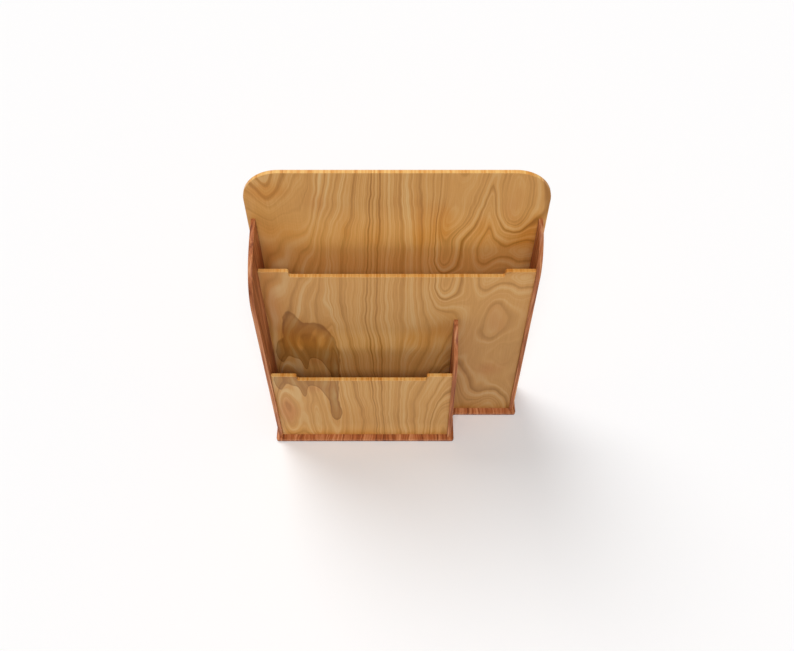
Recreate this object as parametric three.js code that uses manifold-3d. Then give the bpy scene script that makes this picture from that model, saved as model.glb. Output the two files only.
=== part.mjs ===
// A free-standing wooden magazine holder with a full-width rear pocket and a shorter front pocket.
// The tall back panel and the two notched panels in front of it are pale golden wood. The sides, the
// divider and the L-shaped base are red wood. The notched panels are housed in the sides and the
// divider, and every board is glued and fastened with steel panel pins.
// Millimetres, +Z up, +Y to the back. The origin is the centre of the underside of the bounding box.

import * as THREE from 'three';
import { mergeVertices } from 'three/addons/utils/BufferGeometryUtils.js';
import Module from 'manifold-3d';

// Stock
const panelThickness = 5;
const sideThickness = 5;
const baseThickness = 5;
const easedEdge = 0.5;

// Back panel
const backWidth = 330;
const backHeight = 432;
const backCornerRadius = 41;

// Sides and divider: each top edge falls forward in one sweep to a plumb front edge.
// Fall and crown are drops below the top; reach and shoulder are shares of the sweep's own size.
const sideInset = 4;
const sideHeight = 360;
const leftSweep = { fall: 60, crown: 3, reach: 0.58, shoulder: 0.72 };
const rightSweep = { fall: 53, crown: 3, reach: 0.58, shoulder: 0.49 };
const dividerHeight = 219;
const dividerSweep = { fall: 54, crown: 2, reach: 0.58, shoulder: 0.5 };

// Pockets, measured clear between the boards
const rearPocketDepth = 33;
const frontPocketDepth = 36;
const frontPocketWidth = 224.5;
const frontLip = 4;

// Notched panels
const middleHeight = 313;
const middleEar = 34;
const middleNotch = 9.5;
const frontHeight = 154;
const frontEar = 31.5;
const frontNotch = 9.7;
const notchRadius = 3;

// Base
const baseOverhang = 4;
const baseCornerRadius = 3;

// Housings that take the board ends
const housingDepth = 1.5;
const housingFit = 0.25;

// Panel pins
const pinLength = 16;
const pinDiameter = 1.4;
const pinHeadDiameter = 2.6;
const pinHeadThickness = 0.8;
const pinPoint = 2;
const pinSetDepth = 0.6;
const pinFit = 0.25;
const pinEndMargin = 22;
const basePinSpacing = 90;
const backPinSpacing = 105;

// How finely curves are cut
const easedSegments = 2;
const sweepSegments = 28;
const cornerSegments = 10;
const filletSegments = 3;
const pinSides = 10;

// A cutter runs this far past the face it opens, and points this close together are one point
const cutterOverrun = 1;
const weldDistance = 1e-4;

// Places worked out from the sizes above
const overallDepth = panelThickness * 3 + rearPocketDepth + frontPocketDepth + frontLip + baseOverhang;
const backRear = overallDepth / 2;
const backFront = backRear - panelThickness;
const middleRear = backFront - rearPocketDepth;
const middleFront = middleRear - panelThickness;
const frontRear = middleFront - frontPocketDepth;
const frontFace = frontRear - panelThickness;
const rightEdge = middleFront - frontLip;
const leftEdge = frontFace - frontLip;
const outerHalf = backWidth / 2 - sideInset;
const innerHalf = outerHalf - sideThickness;
const dividerInner = frontPocketWidth - innerHalf;
const dividerOuter = dividerInner + sideThickness;
const baseHalf = outerHalf + baseOverhang;
const baseTop = baseThickness;
const housedLength = housingDepth - housingFit;

const wasm = await Module();
wasm.setup();

function solidFrom(geometry) {
  const bare = geometry.clone();
  bare.deleteAttribute('normal');
  bare.deleteAttribute('uv');
  const merged = mergeVertices(bare, weldDistance);
  return new wasm.Manifold(new wasm.Mesh({
    numProp: 3,
    vertProperties: new Float32Array(merged.attributes.position.array),
    triVerts: new Uint32Array(merged.index.array),
  }));
}

function geometryFrom(solid) {
  const mesh = solid.getMesh();
  const geometry = new THREE.BufferGeometry();
  geometry.setAttribute('position', new THREE.BufferAttribute(mesh.vertProperties.slice(), 3));
  geometry.setIndex(new THREE.BufferAttribute(mesh.triVerts.slice(), 1));
  geometry.computeVertexNormals();
  return geometry;
}

// A board of the given outline and thickness, its edges eased all round
function boardFrom(outline, thickness, segments) {
  const geometry = new THREE.ExtrudeGeometry(outline, {
    depth: thickness - 2 * easedEdge,
    curveSegments: segments,
    bevelSegments: easedSegments,
    bevelThickness: easedEdge,
    bevelSize: easedEdge,
    bevelOffset: -easedEdge,
  });
  return geometry.translate(0, 0, easedEdge);
}

// Stands up a board drawn in X and Z, with its front face at the given Y
function standAcross(board, thickness, front) {
  return board.rotateX(Math.PI / 2).translate(0, front + thickness, baseTop);
}

// Stands up a board drawn in Y and Z, with its lower X face at the given X
function standAlong(board, lowX) {
  const turn = new THREE.Matrix4().makeBasis(
    new THREE.Vector3(0, 1, 0),
    new THREE.Vector3(0, 0, 1),
    new THREE.Vector3(1, 0, 0),
  );
  return board.applyMatrix4(turn).translate(lowX, 0, baseTop);
}

function backOutline() {
  const half = backWidth / 2;
  const radius = backCornerRadius;
  const outline = new THREE.Shape();
  outline.moveTo(-half, 0);
  outline.lineTo(half, 0);
  outline.absarc(half - radius, backHeight - radius, radius, 0, Math.PI / 2, false);
  outline.absarc(radius - half, backHeight - radius, radius, Math.PI / 2, Math.PI, false);
  outline.closePath();
  return outline;
}

// A panel between two standing faces, its ends running on into their housings.
// The top is cut down between two ears, with the corners of the notch rounded.
function notchedOutline(leftFace, rightFace, height, ear, notch) {
  const left = leftFace - housedLength;
  const right = rightFace + housedLength;
  const notchLeft = leftFace + ear;
  const notchRight = rightFace - ear;
  const floor = height - notch;
  const radius = notchRadius;
  const outline = new THREE.Shape();
  outline.moveTo(left, 0);
  outline.lineTo(right, 0);
  outline.lineTo(right, height);
  outline.absarc(notchRight + radius, height - radius, radius, Math.PI / 2, Math.PI, false);
  outline.absarc(notchRight - radius, floor + radius, radius, 0, -Math.PI / 2, true);
  outline.absarc(notchLeft + radius, floor + radius, radius, -Math.PI / 2, -Math.PI, true);
  outline.absarc(notchLeft - radius, height - radius, radius, 0, Math.PI / 2, false);
  outline.lineTo(left, height);
  outline.closePath();
  return outline;
}

// The side of a pocket: a plumb front edge, then one sweep up and back to the full height
function sweptOutline(front, back, height, sweep) {
  const reachY = back - (back - front) * sweep.reach;
  const lowZ = height - sweep.fall;
  const shoulderZ = lowZ + sweep.fall * sweep.shoulder;
  const outline = new THREE.Shape();
  outline.moveTo(back, 0);
  outline.lineTo(back, height);
  outline.bezierCurveTo(reachY, height - sweep.crown, front, shoulderZ, front, lowZ);
  outline.lineTo(front, 0);
  outline.closePath();
  return outline;
}

// The base follows both pockets: deep under the front one, shallow beside the divider
function baseOutline() {
  const radius = baseCornerRadius;
  const deepFront = leftEdge - baseOverhang;
  const shallowFront = rightEdge - baseOverhang;
  const stepX = dividerOuter + baseOverhang;
  const outline = new THREE.Shape();
  outline.moveTo(baseHalf, backRear);
  outline.lineTo(-baseHalf, backRear);
  outline.absarc(radius - baseHalf, deepFront + radius, radius, Math.PI, 1.5 * Math.PI, false);
  outline.absarc(stepX - radius, deepFront + radius, radius, 1.5 * Math.PI, 2 * Math.PI, false);
  outline.absarc(stepX + radius, shallowFront - radius, radius, Math.PI, Math.PI / 2, true);
  outline.absarc(baseHalf - radius, shallowFront + radius, radius, 1.5 * Math.PI, 2 * Math.PI, false);
  outline.closePath();
  return outline;
}

// A stopped housing: the room that a board end and its fit take out of the board beside it.
// It is open at the foot of the board.
function housing(lowX, highX, lowY, highY, height) {
  const low = new THREE.Vector3(lowX, lowY, baseTop - cutterOverrun);
  const high = new THREE.Vector3(highX, highY, baseTop + height + housingFit);
  const size = new THREE.Vector3().subVectors(high, low);
  const middle = new THREE.Vector3().addVectors(low, high).multiplyScalar(0.5);
  return solidFrom(new THREE.BoxGeometry(size.x, size.y, size.z).translate(middle.x, middle.y, middle.z));
}

// A panel pin lies along +Y from the surface it is driven into: head, shank and point.
// With a clearance it is instead the hole for that pin, open to the surface.
function pinGeometry(clearance) {
  const top = clearance > 0 ? -cutterOverrun : pinSetDepth;
  const headRadius = pinHeadDiameter / 2 + clearance;
  const shankRadius = pinDiameter / 2 + clearance;
  const seat = pinSetDepth + pinHeadThickness + clearance;
  const tip = pinSetDepth + pinLength + clearance;
  const profile = [
    new THREE.Vector2(0, top),
    new THREE.Vector2(headRadius, top),
    new THREE.Vector2(headRadius, seat),
    new THREE.Vector2(shankRadius, seat),
    new THREE.Vector2(shankRadius, tip - pinPoint),
    new THREE.Vector2(0, tip),
  ];
  return new THREE.LatheGeometry(profile, pinSides);
}

// Evenly spaced places from low to high, at least two unless there is room for only one
function pinRow(low, high, spacing) {
  const room = high - low - 2 * pinEndMargin;
  if (room < pinEndMargin) {
    return [(low + high) / 2];
  }
  const gaps = Math.max(1, Math.round(room / spacing));
  return Array.from({ length: gaps + 1 }, (unused, index) => low + pinEndMargin + (room * index) / gaps);
}

// Every board in its place
const leftBoard = sweptOutline(leftEdge, backFront, sideHeight, leftSweep);
const rightBoard = sweptOutline(rightEdge, backFront, sideHeight, rightSweep);
const dividerBoard = sweptOutline(leftEdge, middleFront + housedLength, dividerHeight, dividerSweep);
const middleBoard = notchedOutline(-innerHalf, innerHalf, middleHeight, middleEar, middleNotch);
const frontBoard = notchedOutline(-innerHalf, dividerInner, frontHeight, frontEar, frontNotch);
const boards = {
  base: solidFrom(boardFrom(baseOutline(), baseThickness, filletSegments)),
  back_panel: solidFrom(standAcross(
    boardFrom(backOutline(), panelThickness, cornerSegments), panelThickness, backFront)),
  middle_panel: solidFrom(standAcross(
    boardFrom(middleBoard, panelThickness, filletSegments), panelThickness, middleFront)),
  front_panel: solidFrom(standAcross(
    boardFrom(frontBoard, panelThickness, filletSegments), panelThickness, frontFace)),
  left_side: solidFrom(standAlong(boardFrom(leftBoard, sideThickness, sweepSegments), -outerHalf)),
  right_side: solidFrom(standAlong(boardFrom(rightBoard, sideThickness, sweepSegments), innerHalf)),
  divider: solidFrom(standAlong(boardFrom(dividerBoard, sideThickness, sweepSegments), dividerInner)),
};

// Housings: the middle panel in both sides, the front panel in the left side and the divider,
// and the back edge of the divider in the face of the middle panel
const middleRoom = [middleFront - housingFit, middleRear + housingFit, middleHeight];
const frontRoom = [frontFace - housingFit, frontRear + housingFit, frontHeight];
const intoLeft = [-innerHalf - housingDepth, -innerHalf + cutterOverrun];
const intoRight = [innerHalf - cutterOverrun, innerHalf + housingDepth];
const intoDivider = [dividerInner - cutterOverrun, dividerInner + housingDepth];
const dividerRoom = [dividerInner - housingFit, dividerOuter + housingFit];
boards.left_side = boards.left_side.subtract(housing(...intoLeft, ...middleRoom));
boards.left_side = boards.left_side.subtract(housing(...intoLeft, ...frontRoom));
boards.right_side = boards.right_side.subtract(housing(...intoRight, ...middleRoom));
boards.divider = boards.divider.subtract(housing(...intoDivider, ...frontRoom));
boards.middle_panel = boards.middle_panel.subtract(
  housing(...dividerRoom, middleFront - cutterOverrun, middleFront + housingDepth, dividerHeight));

// Pins driven up through the base into each standing board, along the middle of its thickness
const pins = [];

function driveThroughBase(board, places) {
  places.forEach(([x, y], index) => {
    pins.push({
      name: `base_pin_${board}_${index + 1}`,
      through: 'base',
      into: board,
      position: new THREE.Vector3(x, y, 0),
      turn: Math.PI / 2,
    });
  });
}

const halfPanel = panelThickness / 2;
const halfSide = sideThickness / 2;
const besideLeft = pinRow(leftEdge, backFront, basePinSpacing);
const besideRight = pinRow(rightEdge, backFront, basePinSpacing);
const besideDivider = pinRow(leftEdge, middleFront, basePinSpacing);
const underBack = pinRow(-backWidth / 2, backWidth / 2, basePinSpacing);
const underMiddle = pinRow(-innerHalf, innerHalf, basePinSpacing);
const underFront = pinRow(-innerHalf, dividerInner, basePinSpacing);
driveThroughBase('left_side', besideLeft.map((y) => [-innerHalf - halfSide, y]));
driveThroughBase('right_side', besideRight.map((y) => [innerHalf + halfSide, y]));
driveThroughBase('divider', besideDivider.map((y) => [dividerInner + halfSide, y]));
driveThroughBase('back_panel', underBack.map((x) => [x, backFront + halfPanel]));
driveThroughBase('middle_panel', underMiddle.map((x) => [x, middleFront + halfPanel]));
driveThroughBase('front_panel', underFront.map((x) => [x, frontFace + halfPanel]));

// Pins driven forward through the back panel into the back edge of each side
for (const [board, x] of [['left_side', -innerHalf - halfSide], ['right_side', innerHalf + halfSide]]) {
  pinRow(baseTop, baseTop + sideHeight, backPinSpacing).forEach((z, index) => {
    pins.push({
      name: `back_pin_${board}_${index + 1}`,
      through: 'back_panel',
      into: board,
      position: new THREE.Vector3(x, backRear, z),
      turn: Math.PI,
    });
  });
}

// The assembly
const holder = new THREE.Group();
const goldenWood = { color: '#b98a54', roughness: 0.5, metalness: 0 };
const redWood = { color: '#9b5b38', roughness: 0.5, metalness: 0 };
const pinSteel = { color: '#8f9192', roughness: 0.4, metalness: 1 };

for (const pin of pins) {
  const mesh = new THREE.Mesh(pinGeometry(0), new THREE.MeshStandardMaterial(pinSteel));
  mesh.name = pin.name;
  mesh.position.copy(pin.position);
  mesh.rotation.x = pin.turn;
  mesh.updateMatrix();
  holder.add(mesh);
  const hole = solidFrom(pinGeometry(pinFit).applyMatrix4(mesh.matrix));
  boards[pin.through] = boards[pin.through].subtract(hole);
  boards[pin.into] = boards[pin.into].subtract(hole);
}

const redBoards = ['base', 'left_side', 'right_side', 'divider'];
for (const [name, solid] of Object.entries(boards)) {
  const finish = redBoards.includes(name) ? redWood : goldenWood;
  const mesh = new THREE.Mesh(geometryFrom(solid), new THREE.MeshStandardMaterial(finish));
  mesh.name = name;
  holder.add(mesh);
}

export default holder;
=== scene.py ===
# %% [markdown]
# # A wooden magazine holder
#
# The holder is made of seven thin boards: three of pale golden wood, which carry the figure that
# draws the eye, and four of red wood, which frame them. The solid model already has every board
# and pin at its true size, so this lesson is about finish: two woods, the steel of the pins, the
# filler over them, and a calm white studio. Lengths are in metres, and a name or a comment says
# so where they are in millimetres.

# %% Load the solid model
import math

import bpy
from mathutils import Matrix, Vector


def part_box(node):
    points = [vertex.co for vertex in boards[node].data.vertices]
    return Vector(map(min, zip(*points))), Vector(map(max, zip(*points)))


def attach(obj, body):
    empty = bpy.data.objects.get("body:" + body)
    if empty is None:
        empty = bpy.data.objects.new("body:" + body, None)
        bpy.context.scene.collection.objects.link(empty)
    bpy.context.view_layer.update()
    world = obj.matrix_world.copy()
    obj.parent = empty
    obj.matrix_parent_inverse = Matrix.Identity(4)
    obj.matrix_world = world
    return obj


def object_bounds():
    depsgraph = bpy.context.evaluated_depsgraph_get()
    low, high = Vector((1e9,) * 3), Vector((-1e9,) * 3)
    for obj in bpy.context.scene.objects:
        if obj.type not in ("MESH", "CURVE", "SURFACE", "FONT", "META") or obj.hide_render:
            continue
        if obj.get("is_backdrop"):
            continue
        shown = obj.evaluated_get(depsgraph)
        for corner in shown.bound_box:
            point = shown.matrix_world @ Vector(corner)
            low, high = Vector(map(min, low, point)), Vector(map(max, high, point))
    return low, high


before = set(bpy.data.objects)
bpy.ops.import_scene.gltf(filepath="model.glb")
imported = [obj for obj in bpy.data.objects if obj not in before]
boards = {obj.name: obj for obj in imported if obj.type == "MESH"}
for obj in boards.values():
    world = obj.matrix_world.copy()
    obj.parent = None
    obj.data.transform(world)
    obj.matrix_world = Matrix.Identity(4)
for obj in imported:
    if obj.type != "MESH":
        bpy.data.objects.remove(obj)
cad_low, cad_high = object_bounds()
print("solid model:", len(boards), "nodes,", [round(v, 4) for v in Vector(cad_high) - Vector(cad_low)], "m")

# %% [markdown]
# ## Three helpers
#
# Every material here is a tree of nodes. One small function adds a node, sets its options and fills
# its inputs. An input is given by its place or its name, and its value is a plain value or the
# node that feeds it. Colours are written as the sRGB hex values that a colour picker shows, and
# the second function turns them to the linear values that the renderer works in. The third starts
# a material with an empty tree.

# %% Helpers for nodes, colours and materials
def add_node(tree, kind, inputs=(), **settings):
    made = tree.nodes.new(kind)
    for name, value in settings.items():
        setattr(made, name, value)
    live = [socket for socket in made.inputs if socket.enabled]
    pairs = inputs.items() if isinstance(inputs, dict) else enumerate(inputs)
    for key, value in pairs:
        socket = live[key] if isinstance(key, int) else next(s for s in live if s.name == key)
        if isinstance(value, bpy.types.Node):
            value = next(s for s in value.outputs if s.enabled)
        if isinstance(value, bpy.types.NodeSocket):
            tree.links.new(value, socket)
        else:
            socket.default_value = value
    return made


def linear(hex_colour):
    channels = [int(hex_colour[at:at + 2], 16) / 255 for at in (1, 3, 5)]
    return [c / 12.92 if c <= 0.04045 else ((c + 0.055) / 1.055) ** 2.4 for c in channels] + [1]


def new_material(name):
    material = bpy.data.materials.new(name)
    material.use_nodes = True
    material.node_tree.nodes.clear()
    return material, material.node_tree


# %% [markdown]
# ## The camera
#
# The photograph looks steeply down at the front of the holder, so the tall back panel seems to
# lean towards the viewer. A perspective fit of the board edges gives the pitch, the distance and
# the lens. The camera has no roll, and it isn't turned to either side.

# %% Camera
CAMERA_PLACE = (0, -0.630, 1.147)
CAMERA_PITCH_DOWN = 55.92
LENS_MM = 42.17
SENSOR_MM = 36

camera_data = bpy.data.cameras.new("studio_camera")
camera_data.lens = LENS_MM
camera_data.sensor_width = SENSOR_MM
camera = bpy.data.objects.new("studio_camera", camera_data)
camera.location = CAMERA_PLACE
camera.rotation_euler = (math.radians(90 - CAMERA_PITCH_DOWN), 0, 0)
bpy.context.scene.collection.objects.link(camera)
bpy.context.scene.camera = camera
print("camera", round(Vector(CAMERA_PLACE).length, 3), "m from the foot of the holder")

# %% [markdown]
# ## The studio
#
# The holder stands on a plain white floor, and beyond it the camera sees plain white, by a Light
# Path test in the world. The world gives a weak even light besides. Two lamps of the sun kind light
# floor and holder alike wherever they stand. One is high in front, and its shadow hides behind the
# tall back panel. The other has the wider spread. It is behind the left shoulder of the holder, and
# it draws the long soft shadow that falls to the front right.

# %% Floor
# Matt white paper: it takes the soft shadow and gives no highlight. The small gap keeps it from
# lying in the same plane as the underside of the base.
FLOOR_HALF_WIDTH = 4.0
FLOOR_GAP = 0.0002

floor_material, tree = new_material("white_studio_floor")
matt_white = add_node(tree, "ShaderNodeBsdfDiffuse", {"Color": linear("#fbfafa")})
add_node(tree, "ShaderNodeOutputMaterial", [matt_white])
corners = [(-1, -1), (1, -1), (1, 1), (-1, 1)]
floor_points = [(x * FLOOR_HALF_WIDTH, y * FLOOR_HALF_WIDTH, -FLOOR_GAP) for x, y in corners]
floor_mesh = bpy.data.meshes.new("studio_floor")
floor_mesh.from_pydata(floor_points, [], [(0, 1, 2, 3)])
floor_mesh.materials.append(floor_material)
floor = bpy.data.objects.new("studio_floor", floor_mesh)
bpy.context.scene.collection.objects.link(floor)
floor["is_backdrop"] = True

# %% World
SURROUND_STRENGTH = 0.25

world = bpy.data.worlds.new("studio_surround")
world.use_nodes = True
tree = world.node_tree
tree.nodes.clear()
rays = add_node(tree, "ShaderNodeLightPath").outputs
direct_or_glossy = add_node(tree, "ShaderNodeMath", [rays["Is Camera Ray"], rays["Is Glossy Ray"]],
                            operation="MAXIMUM")
seen = add_node(tree, "ShaderNodeMath", [direct_or_glossy, rays["Is Transmission Ray"]], operation="MAXIMUM")
even_light = add_node(tree, "ShaderNodeBackground", [linear("#ffffff"), SURROUND_STRENGTH])
backdrop = add_node(tree, "ShaderNodeBackground", [linear("#fdfdfd"), 1.0])
shown = add_node(tree, "ShaderNodeMixShader", [seen, even_light, backdrop])
add_node(tree, "ShaderNodeOutputWorld", [shown])
bpy.context.scene.world = world
bpy.context.scene.view_settings.view_transform = "Standard"


# %% Lamps
# A wide sun makes a soft shadow. The spreads are large because the shadow in the photograph has no
# hard edge anywhere.
def add_sun(name, toward, strength, spread_degrees):
    lamp = bpy.data.lights.new(name, "SUN")
    lamp.energy = strength
    lamp.angle = math.radians(spread_degrees)
    lamp_object = bpy.data.objects.new(name, lamp)
    lamp_object.rotation_euler = Vector(toward).to_track_quat("-Z", "Y").to_euler()
    bpy.context.scene.collection.objects.link(lamp_object)


add_sun("key_behind_left", (0.42, -0.55, -1.0), 1.44, 34)
add_sun("fill_above_front", (0.0, 0.64, -1.0), 1.5, 24)

# %% [markdown]
# ## A wandering value
#
# Nothing in wood runs quite straight. This small group gives a value that wanders smoothly about
# zero, mostly within one either way, over a patch whose size is set in millimetres for each
# direction. A long size along the grain and a short one across it draws fibres, and a large size
# in both draws slow changes of tone. The shift picks another part of the pattern.

# %% Group: wandering value
WANDER_GAIN = 3.0


def new_group(name, inputs, output, output_kind="NodeSocketFloat"):
    group = bpy.data.node_groups.new(name, "ShaderNodeTree")
    for socket_name, kind in inputs.items():
        group.interface.new_socket(name=socket_name, in_out="INPUT", socket_type=kind)
    group.interface.new_socket(name=output, in_out="OUTPUT", socket_type=output_kind)
    return group, add_node(group, "NodeGroupInput").outputs


wander_inputs = {"Place": "NodeSocketVector", "Size": "NodeSocketVector", "Shift": "NodeSocketFloat",
                 "Detail": "NodeSocketFloat"}
wander, given = new_group("wandering_value", wander_inputs, "Value")
in_patches = add_node(wander, "ShaderNodeVectorMath", [given["Place"], given["Size"]], operation="DIVIDE")
shifted = add_node(wander, "ShaderNodeVectorMath", [in_patches, given["Shift"]], operation="ADD")
noise = add_node(wander, "ShaderNodeTexNoise", {"Vector": shifted, "Scale": 1.0, "Detail": given["Detail"]})
about_zero = add_node(wander, "ShaderNodeMath", [noise, 0.5], operation="SUBTRACT")
widened = add_node(wander, "ShaderNodeMath", [about_zero, WANDER_GAIN], operation="MULTIPLY")
add_node(wander, "NodeGroupOutput", [widened])

# %% [markdown]
# ## Three tones
#
# Wood, filler and steel all vary between a dark, a middle and a pale tone. This group takes a shade
# about zero and the three colours, and blends from one to the next.

# %% Group: three tones
FULL_SHADE = 0.88

three_tones, given = new_group("three_tones", {"Shade": "NodeSocketFloat", "Dark": "NodeSocketColor",
                                               "Middle": "NodeSocketColor", "Pale": "NodeSocketColor"},
                               "Colour", "NodeSocketColor")
darkness = add_node(three_tones, "ShaderNodeMapRange", [given["Shade"], -FULL_SHADE, 0.0, 1.0, 0.0])
paleness = add_node(three_tones, "ShaderNodeMapRange", [given["Shade"], 0.0, FULL_SHADE, 0.0, 1.0])
darkened = add_node(three_tones, "ShaderNodeMix", [darkness, given["Middle"], given["Dark"]],
                    data_type="RGBA")
toned = add_node(three_tones, "ShaderNodeMix", [paleness, darkened, given["Pale"]], data_type="RGBA")
add_node(three_tones, "NodeGroupOutput", [toned])

# %% [markdown]
# ## Worn edges and painted highlight
#
# Hands and magazines rub the sharp edges of a board round, and the finish wears thin there. The
# Bevel node looks for faces that meet within a small reach, and gives the normal that a rounded
# edge would have. Where that normal turns away from the flat face, the surface is near an edge. A
# little wandering noise breaks the wear up, because no edge wears evenly. The pale colour laid on
# there is partly wear and partly a painted highlight, where a rounded edge would catch the light.

# %% Group: edge wear
EDGE_REACH = 0.0011
FULLY_ROUND = 0.9
LEAST_WEAR = 0.25

edge_wear_and_highlight, given = new_group("edge_wear_and_highlight", {"Place": "NodeSocketVector"}, "Wear")
flat_normal = add_node(edge_wear_and_highlight, "ShaderNodeNewGeometry").outputs["Normal"]
round_normal = add_node(edge_wear_and_highlight, "ShaderNodeBevel", [EDGE_REACH], samples=6)
alike = add_node(edge_wear_and_highlight, "ShaderNodeVectorMath", [flat_normal, round_normal],
                 operation="DOT_PRODUCT").outputs["Value"]
near_edge = add_node(edge_wear_and_highlight, "ShaderNodeMapRange", [alike, 1.0, FULLY_ROUND, 0.0, 1.0],
                     interpolation_type="SMOOTHSTEP")
rubs = add_node(edge_wear_and_highlight, "ShaderNodeGroup", {"Place": given["Place"], "Size": (7, 7, 7), "Shift": 21.0,
                                               "Detail": 2.0}, node_tree=wander)
patchy = add_node(edge_wear_and_highlight, "ShaderNodeMapRange", [rubs, -0.6, 0.5, LEAST_WEAR, 1.0])
wear_and_highlight = add_node(edge_wear_and_highlight, "ShaderNodeMath", [near_edge, patchy], operation="MULTIPLY")
add_node(edge_wear_and_highlight, "NodeGroupOutput", [wear_and_highlight])

# %% [markdown]
# ## Where the growth rings run
#
# A board sawn flat from a trunk shows its growth rings as long lines in the middle, and wherever
# the trunk swelled, the saw cuts the swelling as ovals and pointed arches. The figure is made the
# way it grows. For every point of the board a height is worked out, counted in rings. The middle
# of the plank rises steadily, which draws the straight lines, and each swelling adds or takes away
# a few rings over an oval patch. Lines of equal height are then the figure.

# %% Group: one swelling
SWELLING_SIZES = ("Centre Across", "Centre Along", "Half Width", "Half Length", "Height", "Bluntness", "Lean")
SIDE_FALL = 1.5

swelling_inputs = {name: "NodeSocketFloat" for name in ("Across", "Along", "Total") + SWELLING_SIZES}
swelling, given = new_group("ring_swelling", swelling_inputs, "Total")
off_centre = add_node(swelling, "ShaderNodeMath", [given["Across"], given["Centre Across"]],
                      operation="SUBTRACT")
risen = add_node(swelling, "ShaderNodeMath", [given["Along"], given["Centre Along"]], operation="SUBTRACT")
leaned = add_node(swelling, "ShaderNodeMath", [risen, given["Lean"]], operation="MULTIPLY")
upright = add_node(swelling, "ShaderNodeMath", [off_centre, leaned], operation="SUBTRACT")
across = add_node(swelling, "ShaderNodeMath", [upright, given["Half Width"]], operation="DIVIDE")
along = add_node(swelling, "ShaderNodeMath", [risen, given["Half Length"]], operation="DIVIDE")
blunt_squared = add_node(swelling, "ShaderNodeMath", [given["Bluntness"], 2.0], operation="POWER")
squared = add_node(swelling, "ShaderNodeMath", [across, across, blunt_squared], operation="MULTIPLY_ADD")
rounded = add_node(swelling, "ShaderNodeMath", [squared], operation="SQRT")
pointed = add_node(swelling, "ShaderNodeMath", [rounded, given["Bluntness"]], operation="SUBTRACT")
sideways = add_node(swelling, "ShaderNodeMath", [pointed, SIDE_FALL], operation="MULTIPLY")
fall = add_node(swelling, "ShaderNodeMath", [along, along, sideways], operation="MULTIPLY_ADD")
negative = add_node(swelling, "ShaderNodeMath", [fall, -1.0], operation="MULTIPLY")
share = add_node(swelling, "ShaderNodeMath", [negative], operation="EXPONENT")
raised = add_node(swelling, "ShaderNodeMath", [share, given["Height"], given["Total"]],
                  operation="MULTIPLY_ADD")
add_node(swelling, "NodeGroupOutput", [raised])

# %% Places of the ring swellings
# Each row has, in millimetres and rings: centre across, centre along, half width, half length,
# height, bluntness of the ends, and lean to the right for each unit of rise. Across is counted
# from the middle of the plank, and along from the foot of the holder.
RING_SWELLINGS = (
    (129, 400, 27, 64, 3.0, 0.3, 0),
    (129, 402, 20, 52, 2.0, 0.9, 0),
    (129, 404, 13, 34, -1.3, 1.5, 0),
    (66, 440, 16.5, 170, 7.0, 1.5, 0.13),
    (62, 414, 12, 56, -2.2, 1.5, 0.13),
    (53, 362, 8, 26, 0.8, 0.8, 0),
    (102, 385, 8, 56, -1.5, 0.5, 0),
    (101, 290, 12, 120, -0.8, 0.8, 0),
    (142, 310, 32, 28, -1.7, 1.5, 0),
    (56, 286, 19, 36, 1.8, 1.0, 0),
    (117, 224, 18, 48, 2.9, 0.9, 0),
    (117, 224, 10, 28, -1.2, 1.5, 0),
    (60, 16, 36, 112, 6.0, 0.3, 0),
    (126, -8, 30, 62, 3.6, 0.3, 0),
    (24, 190, 20, 62, -2.6, 0.6, 0),
    (-140, 452, 24, 54, -5.0, 0.3, 0),
    (-97, 440, 22, 150, -2.0, 0.3, 0),
    (-125, 450, 60, 75, -2.4, 0.8, 0),
    (-143, 66, 15, 62, 3.6, 0.5, 0),
    (-143, 66, 7, 26, -1.0, 1.5, 0),
    (-105, 40, 13, 100, 3.0, 0.3, 0),
    (-79, 150, 9, 105, -2.4, 0.4, 0),
    (-66, 285, 40, 120, 2.0, 1.5, 0),
    (-118, 165, 20, 50, 1.6, 0.8, 0),
    (-25, 210, 60, 85, 1.2, 1.5, 0),
    (-25, 440, 60, 55, 1.0, 1.5, 0),
    (24, 305, 20, 48, -1.4, 0.8, 0),
    (28, 445, 22, 50, 1.1, 0.8, 0),
    (16, 120, 26, 80, 0.6, 1.0, 0),
    (-52, 455, 18, 55, -1.5, 0.8, 0),
    (-46, 45, 16, 40, -0.6, 0.8, 0),
)


def add_swellings(tree, across, along, total, rows):
    for row in rows:
        inputs = {"Across": across, "Along": along, "Total": total, **dict(zip(SWELLING_SIZES, row))}
        total = add_node(tree, "ShaderNodeGroup", inputs, node_tree=swelling)
    return total


# %% [markdown]
# ## The golden plank
#
# The pale boards are a flat-sawn hardwood such as cherry or elm. The three of them come from one
# plank, so they share one figure, which runs on from board to board and goes straight through the
# thickness. So no pattern reads the depth of a point, and the top edges carry the same lines as
# the faces. Noise moves the lines a little, because a drawn curve looks too clean.

# %% Group: growth rings of the plank
STEADY_RINGS = 13
STEADY_CENTRE_MM = -15
STEADY_HALF_WIDTH_MM = 62
# How far noise moves a line across and along the plank, and how many rings it adds.
SWING_MM = 2.0
FLUTTER_MM = 0.2
LIFT_MM = 5.0
DRIFT_RINGS = 1.0
RIPPLE_RINGS = 0.12

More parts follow.
